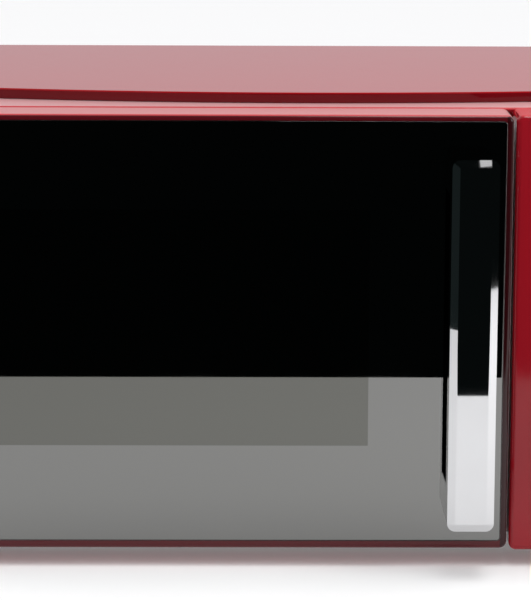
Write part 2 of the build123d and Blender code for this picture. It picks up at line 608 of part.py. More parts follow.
# ---- door --------------------------------------------------------------------------------------
NOTCH_Z = {"upper": (242.6, 246.4), "lower": (16.6, 20.4)}
PIN_Z = ((237.0, 250.0), (12.5, 26.0))
GUARD = 5.3  # half width of the pocket that the bracket arm turns in


def hinge_notch():
    """Cuts the two pockets at the rear left edge of the door, where the bracket arms enter."""
    for low, high in NOTCH_Z.values():
        pocket_x, pocket_y = (DOOR_LEFT - 1, HINGE_X + GUARD), (HINGE_Y - GUARD, DOOR_BACK_Y + 1)
        block(pocket_x, pocket_y, (low, high), Mode.SUBTRACT)


def hinge_corner():
    """Rounds the rear left edge about the hinge axis, so that it turns clear of the oven."""
    margin = 10
    with BuildSketch() as corner:
        with Locations(((DOOR_LEFT - margin + HINGE_X) / 2, (HINGE_Y + DOOR_BACK_Y + margin) / 2)):
            Rectangle(HINGE_X - DOOR_LEFT + margin, DOOR_BACK_Y + margin - HINGE_Y)
        with Locations((HINGE_X, HINGE_Y)):
            Circle(HINGE_X - DOOR_LEFT, mode=Mode.SUBTRACT)
    extrude(corner.sketch, amount=CABINET_TOP, mode=Mode.SUBTRACT)


with BuildPart() as door_frame:
    rounded_slab((DOOR_LEFT, DOOR_RIGHT), (GLASS_FACE_Y, DOOR_BACK_Y), (DOOR_BOTTOM, DOOR_TOP), 4.0)
    fillet(door_frame.edges().group_by(Axis.Y)[0], 2.6)
    rounded_slab(
        (DOOR_LEFT + DOOR_WALL, DOOR_RIGHT - DOOR_WALL),
        (-152, DOOR_BACK_Y + 1),
        (DOOR_BOTTOM + DOOR_WALL, DOOR_TOP - DOOR_WALL),
        2.0,
        Mode.SUBTRACT,
    )
    rounded_slab(
        (GLASS_LEFT, GLASS_RIGHT),
        (GLASS_FACE_Y - 1, GLASS_FACE_Y + GLASS_THICK),
        (GLASS_BOTTOM, GLASS_TOP),
        2.0,
        Mode.SUBTRACT,
    )
    rounded_slab((-192, 72), (-160, -150), (48, 222), 4.0, Mode.SUBTRACT)
    for low, high in ((236.0, DOOR_TOP - 1), (DOOR_BOTTOM + 1, 27.0)):
        block((DOOR_LEFT + 0.5, -209.5), (-141, DOOR_BACK_Y), (low, high))
    hinge_corner()
    hinge_notch()
    for low, high in PIN_Z:
        rod((HINGE_X, HINGE_Y, low), (0, 0, 1), PIN_RADIUS, high - low, Mode.SUBTRACT)
    for z in HANDLE_POST_Z:
        rod((HANDLE_MIDDLE_X, -160, z), (0, 1, 0), 2.3, 12, Mode.SUBTRACT)
pieces["door_frame"] = door_frame

with BuildPart() as hinge_pins:
    for low, high in PIN_Z:
        rod((HINGE_X, HINGE_Y, low), (0, 0, 1), PIN_RADIUS, high - low)
    chamfer(hinge_pins.edges().filter_by(GeomType.CIRCLE), 0.4)
pieces["hinge_pins"] = hinge_pins

with BuildPart() as hinge_brackets:
    for low, high in NOTCH_Z.values():
        arm_z = (low + 0.5, high - 0.5)
        block((HINGE_X - 3.4, HINGE_X + 3.4), (HINGE_Y, PLATE_Y[0]), arm_z)
        rod((HINGE_X, HINGE_Y, arm_z[0]), (0, 0, 1), 5, arm_z[1] - arm_z[0])
        foot_z = (arm_z[0] - 16, arm_z[1]) if low > 100 else (arm_z[0], arm_z[1] + 16)
        block((HINGE_X - 1, HINGE_X + 9), (PLATE_Y[0] - 1.6, PLATE_Y[0]), foot_z)
        rod((HINGE_X, HINGE_Y, low - 1), (0, 0, 1), PIN_RADIUS + RUNNING_FIT, 6, Mode.SUBTRACT)
pieces["hinge_brackets"] = hinge_brackets

with BuildPart() as door_glass:
    rounded_slab(
        (GLASS_LEFT + 0.2, GLASS_RIGHT - 0.2),
        (GLASS_FACE_Y, GLASS_FACE_Y + GLASS_THICK),
        (GLASS_BOTTOM + 0.2, GLASS_TOP - 0.2),
        1.8,
    )
    fillet(door_glass.edges().group_by(Axis.Y)[0], 0.6)
    for z in HANDLE_POST_Z:
        rod((HANDLE_MIDDLE_X, -160, z), (0, 1, 0), 2.6, 12, Mode.SUBTRACT)
pieces["door_glass"] = door_glass

PANEL_X, PANEL_Z = (-208.0, 88.0), (29.0, 236.0)
with BuildPart() as inner_door_panel:
    rounded_slab(PANEL_X, (-140.8, -140), PANEL_Z, 4.0)
    rounded_slab(PANEL_X, (-140, -129), PANEL_Z, 4.0)
    rounded_slab(
        (PANEL_X[0] + 0.8, PANEL_X[1] - 0.8),
        (-140, -128),
        (PANEL_Z[0] + 0.8, PANEL_Z[1] - 0.8),
        3.2,
        Mode.SUBTRACT,
    )
    step_x, step_z = (PANEL_X[0] + 14, PANEL_X[1] - 14), (PANEL_Z[0] + 14, PANEL_Z[1] - 14)
    rounded_slab(step_x, (-140, -131), step_z, 4.0)
    rounded_slab(
        (PANEL_X[0] + 14.8, PANEL_X[1] - 14.8),
        (-140, -130),
        (PANEL_Z[0] + 14.8, PANEL_Z[1] - 14.8),
        3.2,
        Mode.SUBTRACT,
    )
    rounded_slab(WINDOW_X, (-142, -130), WINDOW_Z, 6.0, Mode.SUBTRACT)
    for step in range(-9, 10):
        x = sum(PANEL_X) / 2 + 15 * step
        block((x - 1.5, x + 1.5), (-138, -128), (PANEL_Z[0] - 1, PANEL_Z[0] + 2), Mode.SUBTRACT)
        block((x - 1.5, x + 1.5), (-138, -128), (PANEL_Z[1] - 2, PANEL_Z[1] + 1), Mode.SUBTRACT)
    for step in range(-6, 7):
        z = sum(PANEL_Z) / 2 + 15 * step
        block((PANEL_X[0] - 1, PANEL_X[0] + 2), (-138, -128), (z - 1.5, z + 1.5), Mode.SUBTRACT)
        block((PANEL_X[1] - 2, PANEL_X[1] + 1), (-138, -128), (z - 1.5, z + 1.5), Mode.SUBTRACT)
pieces["inner_door_panel"] = inner_door_panel

with BuildPart() as window_screen:
    rounded_slab(
        (WINDOW_X[0] - 6, WINDOW_X[1] + 6),
        (-141.6, -140.9),
        (WINDOW_Z[0] - 6, WINDOW_Z[1] + 6),
        6.0,
    )
pieces["window_screen"] = window_screen

with BuildPart() as inner_window:
    rounded_slab(
        (WINDOW_X[0] - 8, WINDOW_X[1] + 8),
        (-130.2, -129.2),
        (WINDOW_Z[0] - 8, WINDOW_Z[1] + 8),
        6.0,
    )
pieces["inner_window"] = inner_window

with BuildPart() as choke_cover:
    cover_x = (DOOR_LEFT + DOOR_WALL + 0.3, DOOR_RIGHT - DOOR_WALL - 0.3)
    cover_z = (DOOR_BOTTOM + DOOR_WALL + 0.3, DOOR_TOP - DOOR_WALL - 0.3)
    rounded_slab(cover_x, (-128.6, DOOR_BACK_Y), cover_z, 1.7)
    rounded_slab(WINDOW_X, (-130, -120), WINDOW_Z, 6.0, Mode.SUBTRACT)
    rounded_slab(
        (WINDOW_X[0] - 9, WINDOW_X[1] + 9),
        (-130, -127.2),
        (WINDOW_Z[0] - 9, WINDOW_Z[1] + 9),
        6.0,
        Mode.SUBTRACT,
    )
    for z in LATCH_Z:
        block((LATCH_X - 4, LATCH_X + 4), (-130, -120), (z - 9, z + 12), Mode.SUBTRACT)
    block((DOOR_LEFT, -209.3), (-142, -120), (235.8, 260), Mode.SUBTRACT)
    block((DOOR_LEFT, -209.3), (-142, -120), (0, 27.2), Mode.SUBTRACT)
    hinge_corner()
pieces["choke_cover"] = choke_cover

with BuildPart() as latch_lever:
    block((LATCH_X - 4, LATCH_X + 6), (-138, -134), (LATCH_Z[0] - 14, LATCH_Z[1] + 14))
    for z in LATCH_Z:
        block((LATCH_X - 2.5, LATCH_X + 2.5), (-134, -101.5), (z - 3, z + 4))
        block((LATCH_X - 2.5, LATCH_X + 2.5), (-109, -101.5), (z - 6, z + 4))
    fillet(latch_lever.edges().filter_by(Axis.X).group_by(Axis.Y)[-1], 2.0)
    rod((LATCH_X + 1, -136, LATCH_Z[1] + 14), (0, 0, 1), 1.6, 4)
pieces["latch_lever"] = latch_lever

SPRING_Z = (LATCH_Z[1] + 14.0, 246.0)
with BuildPart() as latch_spring:
    with BuildLine():
        coil_foot = (LATCH_X + 1, -136, SPRING_Z[0] + 0.6)
        Helix(pitch=3.8, height=SPRING_Z[1] - SPRING_Z[0] - 1.2, radius=2.9, center=coil_foot)
    with BuildSketch(Plane(origin=(LATCH_X + 3.9, -136, SPRING_Z[0] + 0.6), z_dir=(0, 1, 0))):
        Circle(0.45)
    sweep(is_frenet=True)
pieces["latch_spring"] = latch_spring

BAR_BACK_Y = HANDLE_FRONT_Y + HANDLE_THICK
with BuildPart() as handle_bar:
    rounded_slab(HANDLE_X, (HANDLE_FRONT_Y, BAR_BACK_Y), HANDLE_Z, 4.5)
    for z in HANDLE_POST_Z:
        post_z = (z - HANDLE_END / 2, z + HANDLE_END / 2)
        rounded_slab(HANDLE_X, (BAR_BACK_Y - 5, GLASS_FACE_Y), post_z, 4.5)
    front_face = handle_bar.faces().sort_by(Axis.Y)[0]
    chamfer(front_face.edges(), BEVEL_WIDTH, BEVEL_DEPTH, reference=front_face)
    fillet(handle_bar.edges().group_by(Axis.Y)[0], 1.0)
    for z in HANDLE_POST_Z:
        rod((HANDLE_MIDDLE_X, GLASS_FACE_Y, z), (0, -1, 0), 2.0, 12, Mode.SUBTRACT)
pieces["handle_bar"] = handle_bar

with BuildPart() as handle_screws:
    for z in HANDLE_POST_Z:
        rod((HANDLE_MIDDLE_X, GLASS_FACE_Y - 12, z), (0, 1, 0), 2.0, 18)
        rod((HANDLE_MIDDLE_X, -152, z), (0, 1, 0), 4.2, 2.6)
        with Locations((HANDLE_MIDDLE_X, -149.4, z)):
            Box(5.0, 2.0, 1.1, mode=Mode.SUBTRACT)
            Box(1.1, 2.0, 5.0, mode=Mode.SUBTRACT)
pieces["handle_screws"] = handle_screws

# ---- output ------------------------------------------------------------------------------------
os.makedirs("parts", exist_ok=True)
for name, piece in pieces.items():
    piece.part.label = name
    export_step(piece.part, f"parts/{name}.step")
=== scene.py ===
"""Looks for the compact microwave oven: materials for every CAD node, and the small printed and fine pieces.

Metres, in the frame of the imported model: +Z up, the front faces -Y, the floor is z = 0.
"""
import math

import bpy
import bmesh
from mathutils import Matrix, Vector


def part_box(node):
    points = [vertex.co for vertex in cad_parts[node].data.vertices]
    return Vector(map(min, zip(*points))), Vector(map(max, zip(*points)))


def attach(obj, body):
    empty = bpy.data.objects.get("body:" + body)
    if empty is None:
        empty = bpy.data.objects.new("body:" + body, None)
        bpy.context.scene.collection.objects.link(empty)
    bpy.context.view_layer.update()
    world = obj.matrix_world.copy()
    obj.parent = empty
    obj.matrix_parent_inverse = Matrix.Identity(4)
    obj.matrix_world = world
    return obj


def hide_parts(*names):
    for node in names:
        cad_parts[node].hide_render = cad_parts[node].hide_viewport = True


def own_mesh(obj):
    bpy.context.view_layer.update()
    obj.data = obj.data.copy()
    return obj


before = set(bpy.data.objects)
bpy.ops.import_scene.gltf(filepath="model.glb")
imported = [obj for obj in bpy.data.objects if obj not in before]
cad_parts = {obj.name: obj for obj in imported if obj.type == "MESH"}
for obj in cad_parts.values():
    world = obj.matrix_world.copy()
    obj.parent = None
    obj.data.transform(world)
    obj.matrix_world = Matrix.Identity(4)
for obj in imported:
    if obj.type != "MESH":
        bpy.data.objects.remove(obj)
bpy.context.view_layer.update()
MM = 0.001


def corners(node):
    """A node's lowest and highest corners as vectors."""
    low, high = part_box(node)
    return Vector(low), Vector(high)


# ---- camera ------------------------------------------------------------------------------------
IMAGE_HEIGHT = 600  # pixels
FACE_Y = corners("door_glass")[0].y
CAMERA_PLACE = Vector((-0.0404, FACE_Y - 1.5651, 0.4306))
CAMERA_YAW, CAMERA_PITCH, CAMERA_ROLL = 0.65, 10.15, 0.25  # degrees
FOCAL_PIXELS = 2915.6
SENSOR_HEIGHT = 36.0

camera_data = bpy.data.cameras.new("camera")
camera = bpy.data.objects.new("camera", camera_data)
bpy.context.scene.collection.objects.link(camera)
bpy.context.scene.camera = camera
camera_data.sensor_fit = "VERTICAL"
camera_data.sensor_height = SENSOR_HEIGHT
camera_data.lens = SENSOR_HEIGHT * FOCAL_PIXELS / IMAGE_HEIGHT
camera_data.clip_end = 20.0
camera.location = CAMERA_PLACE
turn = Matrix.Rotation(math.radians(-CAMERA_YAW), 4, "Z")
tilt = Matrix.Rotation(math.radians(90.0 - CAMERA_PITCH), 4, "X")
roll = Matrix.Rotation(math.radians(CAMERA_ROLL), 4, "Z")
camera.matrix_world = Matrix.Translation(CAMERA_PLACE) @ turn @ tilt @ roll


# ---- material helpers --------------------------------------------------------------------------
COAT_ROUGHNESS = 0.03


def shader_of(made):
    return made.node_tree.nodes["Principled BSDF"]


def new_material(name, colour, roughness, metallic=0.0, coat=0.0):
    """A Principled material with its constants on the shader's own sockets."""
    made = bpy.data.materials.new(name)
    made.use_nodes = True
    shader = shader_of(made)
    shader.inputs["Base Color"].default_value = (*colour, 1.0)
    shader.inputs["Roughness"].default_value = roughness
    shader.inputs["Metallic"].default_value = metallic
    shader.inputs["Coat Weight"].default_value = coat
    shader.inputs["Coat Roughness"].default_value = COAT_ROUGHNESS
    return made


def add_node(made, kind, **properties):
    """A node of the kind, with the named properties set."""
    node = made.node_tree.nodes.new(kind)
    for name, value in properties.items():
        setattr(node, name, value)
    return node


def link(made, source, target):
    made.node_tree.links.new(source, target)


def place(made, stretch=(1, 1, 1)):
    """Object coordinates in metres, stretched along the axes."""
    coordinates = add_node(made, "ShaderNodeTexCoord")
    mapping = add_node(made, "ShaderNodeMapping")
    mapping.inputs["Scale"].default_value = stretch
    link(made, coordinates.outputs["Object"], mapping.inputs["Vector"])
    return mapping.outputs["Vector"]


def separated(made):
    """Object coordinates in metres, with an output for each axis."""
    coordinates = add_node(made, "ShaderNodeTexCoord")
    split = add_node(made, "ShaderNodeSeparateXYZ")
    link(made, coordinates.outputs["Object"], split.inputs["Vector"])
    return split


def noise(made, scale, detail=3.0, stretch=(1, 1, 1)):
    """The value of a noise texture, with its scale in waves per metre."""
    node = add_node(made, "ShaderNodeTexNoise")
    node.inputs["Scale"].default_value = scale
    node.inputs["Detail"].default_value = detail
    link(made, place(made, stretch), node.inputs["Vector"])
    return node.outputs["Fac"]


NOISE_LOW, NOISE_HIGH = 0.3, 0.7  # where most of a noise value lies


def vary_roughness(made, source, low, high):
    """Roughness that follows a noise value."""
    spread = add_node(made, "ShaderNodeMapRange")
    spread.inputs["From Min"].default_value = NOISE_LOW
    spread.inputs["From Max"].default_value = NOISE_HIGH
    spread.inputs["To Min"].default_value = low
    spread.inputs["To Max"].default_value = high
    link(made, source, spread.inputs["Value"])
    link(made, spread.outputs["Result"], shader_of(made).inputs["Roughness"])


def vary_colour(made, source, first, second, low=0.35, high=0.65):
    """Base colour that goes from first to second as the source goes from low to high."""
    ramp = add_node(made, "ShaderNodeValToRGB")
    ramp.color_ramp.elements[0].position = low
    ramp.color_ramp.elements[0].color = (*first, 1.0)
    ramp.color_ramp.elements[1].position = high
    ramp.color_ramp.elements[1].color = (*second, 1.0)
    link(made, source, ramp.inputs["Fac"])
    link(made, ramp.outputs["Color"], shader_of(made).inputs["Base Color"])


def add_bump(made, source, distance, strength=1.0):
    """A fine relief, its depth in metres."""
    bump = add_node(made, "ShaderNodeBump")
    bump.inputs["Strength"].default_value = strength
    bump.inputs["Distance"].default_value = distance
    link(made, source, bump.inputs["Height"])
    link(made, bump.outputs["Normal"], shader_of(made).inputs["Normal"])


def inside_limits(made, split, limits):
    """One inside every (axis, low, high) range of separated object coordinates, and nought outside."""
    inside = None
    for axis, low, high in limits:
        for limit, operation in ((low, "GREATER_THAN"), (high, "LESS_THAN")):
            test = add_node(made, "ShaderNodeMath", operation=operation)
            test.inputs[1].default_value = limit
            link(made, split.outputs[axis], test.inputs[0])
            if inside is None:
                inside = test.outputs[0]
                continue
            both = add_node(made, "ShaderNodeMath", operation="MULTIPLY")
            link(made, inside, both.inputs[0])
            link(made, test.outputs[0], both.inputs[1])
            inside = both.outputs[0]
    return inside


def painted_light_over(made, colour, mask, painted_light):
    """The colour, with a second colour laid over it where the mask is one; every use is painted light or
    painted shade.
    """
    over = add_node(made, "ShaderNodeMixRGB")
    over.inputs["Color2"].default_value = (*painted_light, 1.0)
    link(made, mask, over.inputs["Fac"])
    if isinstance(colour, tuple):
        over.inputs["Color1"].default_value = (*colour, 1.0)
    else:
        link(made, colour, over.inputs["Color1"])
    return over.outputs["Color"]


# ---- materials ---------------------------------------------------------------------------------
RED = (0.25, 0.006, 0.012)
RIM_SHADE_RED = (0.07, 0.003, 0.006)  # painted shade on the thin rim round the glass
BORDER_SHADE_RED = (0.022, 0.0015, 0.0025)  # painted shade, darkest, on the right part of that rim
LEVEL_LIT_RED = (0.46, 0.010, 0.018)  # painted light: a stronger red on the level upper faces of the front mouldings
ENAMEL_RED = (0.42, 0.009, 0.015)
# Painted shade: the darker red of the skin's downturned front hem.
HEM_SHADE_RED = (0.14, 0.003, 0.007)

LEVEL_FROM = 251.2 * MM  # the height where the level upper faces begin
HAZE_ROUGHNESS = 0.32
UPRIGHT_ROUGHNESS, LEVEL_ROUGHNESS = 0.07, 0.43
RIM_DEPTH = 1.6 * MM
FAR = 1.0  # metres, past any part of the oven

HEM_BACK_Y = -60 * MM
HEM_DROP, HEM_START = 6.2 * MM, 0.8 * MM  # its lower and upper limits, down from the top of the skin

PAINT_WAVINESS = 0.006 * MM
PAINT_WAVE_STRENGTH = 0.2


def red_enamel():
    """Baked gloss enamel on the steel skin, with painted shade darkening the downturned front hem."""
    made = new_material("red_enamel", ENAMEL_RED, 0.06)
    shader = shader_of(made)
    shader.inputs["Specular IOR Level"].default_value = 0.4
    shader.inputs["Sheen Weight"].default_value = 0.05
    shader.inputs["Sheen Roughness"].default_value = 0.3
    low, high = corners("outer_cabinet")
    hem_limits = (("Y", low.y - FAR, HEM_BACK_Y), ("Z", high.z - HEM_DROP, high.z - HEM_START))
    hem = inside_limits(made, separated(made), hem_limits)
    # Painted shade: the downturned front hem is a darker red.
    vary_colour(made, hem, ENAMEL_RED, HEM_SHADE_RED, 0.0, 1.0)
    vary_roughness(made, noise(made, 60.0), 0.04, 0.09)
    add_bump(made, noise(made, 420.0, 1.0), PAINT_WAVINESS, PAINT_WAVE_STRENGTH)
    return made


def red_moulding(name, haze, rim_y=None):
    """Painted plastic of the front, with the soft haze that a pearl lacquer shows at a low angle.

    The level upper faces are rougher, and painted light gives them a stronger red. Round the glass, in front
    of rim_y, painted shade darkens the red, most of all to the right of the glass.
    """
    made = new_material(name, RED, UPRIGHT_ROUGHNESS)
    shader = shader_of(made)
    shader.inputs["Specular IOR Level"].default_value = 0.3
    shader.inputs["Sheen Weight"].default_value = haze
    shader.inputs["Sheen Roughness"].default_value = HAZE_ROUGHNESS
    split = separated(made)
    level = inside_limits(made, split, (("Z", LEVEL_FROM, FAR),))
    # Painted light: the level upper faces get a stronger red.
    colour = painted_light_over(made, RED, level, LEVEL_LIT_RED)
    if rim_y is not None:
        rim_limits = (("Y", rim_y - FAR, rim_y), ("Z", 0, LEVEL_FROM))
        border_limits = (("X", corners("door_glass")[1].x, FAR), *rim_limits)
        # Painted shade: a darker red on the rim round the glass.
        colour = painted_light_over(made, colour, inside_limits(made, split, rim_limits), RIM_SHADE_RED)
        # Painted shade: the darkest red, on the rim's right part.
        colour = painted_light_over(made, colour, inside_limits(made, split, border_limits), BORDER_SHADE_RED)
    link(made, colour, shader.inputs["Base Color"])
    satin = add_node(made, "ShaderNodeMath", operation="MULTIPLY_ADD")
    satin.inputs[1].default_value = LEVEL_ROUGHNESS - UPRIGHT_ROUGHNESS
    satin.inputs[2].default_value = UPRIGHT_ROUGHNESS
    link(made, level, satin.inputs[0])
    link(made, satin.outputs[0], shader.inputs["Roughness"])
    add_bump(made, noise(made, 300.0, 1.0), PAINT_WAVINESS, PAINT_WAVE_STRENGTH)
    return made


GLASS_TONE = (0.178, 0.178, 0.173)
WINDOW_TONE = (0.119, 0.119, 0.110)
WINDOW_RIM = 6 * MM


def mirror_glass():
    """Dark mirror coating on tempered glass, a shade darker where the viewing window lies behind."""
    made = new_material("mirror_glass", GLASS_TONE, 0.012, metallic=1.0)
    low, high = corners("window_screen")
    window_limits = (
        ("X", low.x + WINDOW_RIM, high.x - WINDOW_RIM),
        ("Z", low.z + WINDOW_RIM, high.z - WINDOW_RIM),
    )
    window = inside_limits(made, separated(made), window_limits)
    vary_colour(made, window, GLASS_TONE, WINDOW_TONE, 0.0, 1.0)
    vary_roughness(made, noise(made, 18.0), 0.006, 0.02)
    return made


def chrome():
    """Bright plating with faint polishing haze."""
    made = new_material("chrome", (0.52, 0.52, 0.53), 0.03, metallic=1.0)
    vary_roughness(made, noise(made, 45.0, 4.0), 0.01, 0.035)
    vary_colour(made, noise(made, 20.0), (0.51, 0.51, 0.52), (0.54, 0.54, 0.55))
    return made


def black_gloss():
    """Deep black lacquer under a clear coat."""
    made = new_material("black_gloss", (0.006, 0.006, 0.007), 0.05, coat=0.6)
    vary_roughness(made, noise(made, 40.0), 0.03, 0.08)
    return made


def fine_plastic(name, first, second, roughness, grain=1600.0, depth=0.00002):
    """Moulded plastic with a fine spark-eroded texture."""
    made = new_material(name, first, roughness)
    vary_colour(made, noise(made, 30.0), first, second)
    vary_roughness(made, noise(made, 500.0), roughness - 0.06, roughness + 0.06)
    add_bump(made, noise(made, grain, 2.0), depth, 0.5)
    return made


def zinc_steel():
    """Zinc-coated sheet with its crystal spangle."""
    made = new_material("zinc_steel", (0.6, 0.61, 0.62), 0.35, metallic=1.0)
    spangle = add_node(made, "ShaderNodeTexVoronoi")
    spangle.inputs["Scale"].default_value = 130.0
    link(made, place(made), spangle.inputs["Vector"])
    tone = add_node(made, "ShaderNodeSeparateColor")
    link(made, spangle.outputs["Color"], tone.inputs["Color"])
    dull, bright = (0.565, 0.575, 0.585), (0.625, 0.635, 0.645)
    vary_colour(made, tone.outputs["Red"], dull, bright, 0.1, 0.9)
    vary_roughness(made, tone.outputs["Green"], 0.31, 0.41)
    return made


def cavity_enamel():
    """Light grey stoved enamel with a fine dark speckle."""
    made = new_material("cavity_enamel", (0.62, 0.62, 0.6), 0.32, coat=0.2)
    speckle, ground = (0.55, 0.55, 0.54), (0.63, 0.63, 0.61)
    vary_colour(made, noise(made, 900.0, 2.0), speckle, ground, 0.3, 0.42)
    vary_roughness(made, noise(made, 50.0), 0.26, 0.4)
    add_bump(made, noise(made, 500.0, 1.0), 0.00001, 0.3)
    return made


def brushed(name, colour, roughness, stretch):
    """Metal with fine parallel brushing."""
    made = new_material(name, colour, roughness, metallic=1.0)
    lines = noise(made, 60.0, 4.0, stretch)
    vary_roughness(made, lines, roughness - 0.08, roughness + 0.1)
    add_bump(made, lines, 0.00002, 0.4)
    return made


def clear_glass(name, tint, roughness):
    """Glass that lets light through, with faint ripples from pressing."""
    made = new_material(name, tint, roughness)
    shader = shader_of(made)
    shader.inputs["Transmission Weight"].default_value = 1.0
    shader.inputs["IOR"].default_value = 1.5
    vary_roughness(made, noise(made, 30.0), roughness, roughness + 0.03)
    add_bump(made, noise(made, 80.0, 1.0), 0.00002, 0.3)
    return made


def mica():
    """Flaky sheet, from pale to brown."""
    made = new_material("mica", (0.55, 0.45, 0.3), 0.35)
    vary_colour(made, noise(made, 55.0, 6.0), (0.42, 0.33, 0.2), (0.66, 0.57, 0.42))
    add_bump(made, noise(made, 140.0, 5.0), 0.00005, 0.5)
    return made


STRIPES_PER_SCALE = 0.314  # a wave texture's scale times the pitch of its bands


def striped(name, first, second, pitch, axis, metallic, roughness):
    """Fine stripes across an axis: stacked laminations or wound wire."""
    made = new_material(name, first, roughness, metallic=metallic)
    wave = add_node(made, "ShaderNodeTexWave", bands_direction=axis)
    wave.inputs["Scale"].default_value = STRIPES_PER_SCALE / pitch
    wave.inputs["Distortion"].default_value = 0.2
    link(made, place(made), wave.inputs["Vector"])
    vary_colour(made, wave.outputs["Fac"], first, second, 0.2, 0.8)
    add_bump(made, wave.outputs["Fac"], 0.0001, 0.6)
    return made


def board():
    """Printed board: green mask with paler tracks."""
    made = new_material("board", (0.03, 0.16, 0.06), 0.3, coat=0.3)
    tracks = add_node(made, "ShaderNodeTexBrick")
    tracks.inputs["Scale"].default_value = 60.0
    tracks.inputs["Color1"].default_value = (0.02, 0.13, 0.045, 1)
    tracks.inputs["Color2"].default_value = (0.03, 0.17, 0.06, 1)
    tracks.inputs["Mortar"].default_value = (0.06, 0.26, 0.09, 1)
    link(made, place(made), tracks.inputs["Vector"])
    link(made, tracks.outputs["Color"], shader_of(made).inputs["Base Color"])
    return made


def glow(name, colour, strength):
    """A lit display segment."""
    made = new_material(name, colour, 0.4)
    shader = shader_of(made)
    shader.inputs["Emission Color"].default_value = (*colour, 1.0)
    shader.inputs["Emission Strength"].default_value = strength
    return made


CHROME = chrome()
BLACK_GLOSS = black_gloss()
ZINC = zinc_steel()
ENAMEL = cavity_enamel()
DARK_PLASTIC = fine_plastic("dark_plastic", (0.03, 0.03, 0.032), (0.04, 0.04, 0.042), 0.45)
BUTTON_PLASTIC = fine_plastic(
    "button_plastic", (0.018, 0.018, 0.019), (0.024, 0.024, 0.025), 0.3, 2200.0, 0.00001
)
WHITE_PLASTIC = fine_plastic("white_plastic", (0.68, 0.68, 0.65), (0.74, 0.74, 0.71), 0.4)
RUBBER = fine_plastic("rubber", (0.02, 0.02, 0.02), (0.03, 0.03, 0.03), 0.8)
CERAMIC = fine_plastic("ceramic", (0.72, 0.7, 0.64), (0.8, 0.78, 0.73), 0.5)
SCREW_STEEL = brushed("screw_steel", (0.65, 0.65, 0.66), 0.3, (1, 8, 1))
ALUMINIUM = brushed("aluminium", (0.78, 0.79, 0.8), 0.35, (8, 1, 1))
PLATE_GLASS = clear_glass("plate_glass", (0.93, 0.97, 0.96), 0.02)
FILM = clear_glass("film", (0.96, 0.97, 0.97), 0.03)
PRINT = fine_plastic("print", (0.62, 0.62, 0.62), (0.7, 0.7, 0.7), 0.5)

BUTTONS = ["menu_button", "defrost_button", "power_button", "clock_button", "stop_button", "start_button"]

LOOKS = {
    red_enamel(): ["outer_cabinet", "front_plate"],
    red_moulding("red_moulding", 1.0): ["front_surround"],
    red_moulding("fascia_red", 0.0): ["control_fascia"],
    red_moulding("door_red", 0.7, FACE_Y + RIM_DEPTH): ["door_frame"],
    mirror_glass(): ["door_glass"],
    CHROME: ["handle_bar", "control_dial"],
    BLACK_GLOSS: ["control_insert", "display_lens"],
    ZINC: [
        "base_pan",
        "rear_panel",
        "waveguide",
        "magnetron_yoke",
        "hinge_brackets",
        "fan_shroud",
    ],
    ENAMEL: ["oven_cavity", "inner_door_panel"],
    BUTTON_PLASTIC: BUTTONS,
    DARK_PLASTIC: [
        "choke_cover",
        "air_duct",
        "cord_gland",
        "display_module",
        "encoder",
        "push_switches",
        "interlock_switches",
        "fan_blade",
    ],
    WHITE_PLASTIC: [
        "latch_lever",
        "interlock_bracket",
        "roller_ring",
        "roller_1",
        "roller_2",
        "roller_3",
        "drive_coupler",
    ],
    FILM: ["inner_window"],
    PLATE_GLASS: ["glass_turntable", "oven_lamp"],
    mica(): ["waveguide_cover"],
    striped("laminations", (0.1, 0.1, 0.11), (0.2, 0.2, 0.21), 0.001, "Y", 0.6, 0.5): [
        "transformer_core",
        "fan_motor",
        "turntable_motor",
    ],
    striped("copper_wire", (0.5, 0.2, 0.07), (0.75, 0.36, 0.16), 0.0012, "Z", 1.0, 0.3): [
        "transformer_windings"
    ],
    ALUMINIUM: ["magnetron_anode", "hv_capacitor", "thermal_cutout"],
    CERAMIC: ["lamp_socket", "hv_diode"],
    board(): ["control_board", "filter_board"],
    RUBBER: ["feet"],
    SCREW_STEEL: ["cabinet_screws", "handle_screws", "latch_spring", "hinge_pins"],
}
for look, nodes in LOOKS.items():
    for node in nodes:
        shape = bpy.data.objects[node]
        shape.data.materials.clear()
        shape.data.materials.append(look)

# The latch spring gets a mesh of its own. The real coil shortens towards its fixed upper end as the latch
# lifts.
spring = bpy.data.objects["latch_spring"]
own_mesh(spring)


# ---- mesh helpers ------------------------------------------------------------------------------
def make_piece(name, mesh, look, body):
    """Turns a bmesh into an object that rides on a body."""
    data = bpy.data.meshes.new(name)
    mesh.to_mesh(data)
    mesh.free()
    shape = bpy.data.objects.new(name, data)
    bpy.context.scene.collection.objects.link(shape)
    data.materials.append(look)
    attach(shape, body)
    return shape


def add_prism(mesh, outline, back_y, thickness):
    """A flat shape given by its outline in x and z, standing proud of a front face towards -Y."""
    front = [mesh.verts.new((x, back_y - thickness, z)) for x, z in outline]
    back = [mesh.verts.new((x, back_y, z)) for x, z in outline]
    mesh.faces.new(front)
    mesh.faces.new(list(reversed(back)))
    count = len(outline)
    for index in range(count):
        after = (index + 1) % count
        mesh.faces.new((front[index], back[index], back[after], front[after]))


def bar(centre, length, width, degrees):
    """The outline of a straight bar about a centre."""
    angle = math.radians(degrees)
    along = Vector((math.cos(angle), math.sin(angle))) * length / 2
    across = Vector((-math.sin(angle), math.cos(angle))) * width / 2
    middle = Vector(centre)
    upper = [middle + along + across, middle - along + across]
    lower = [middle - along - across, middle + along - across]
    return upper + lower


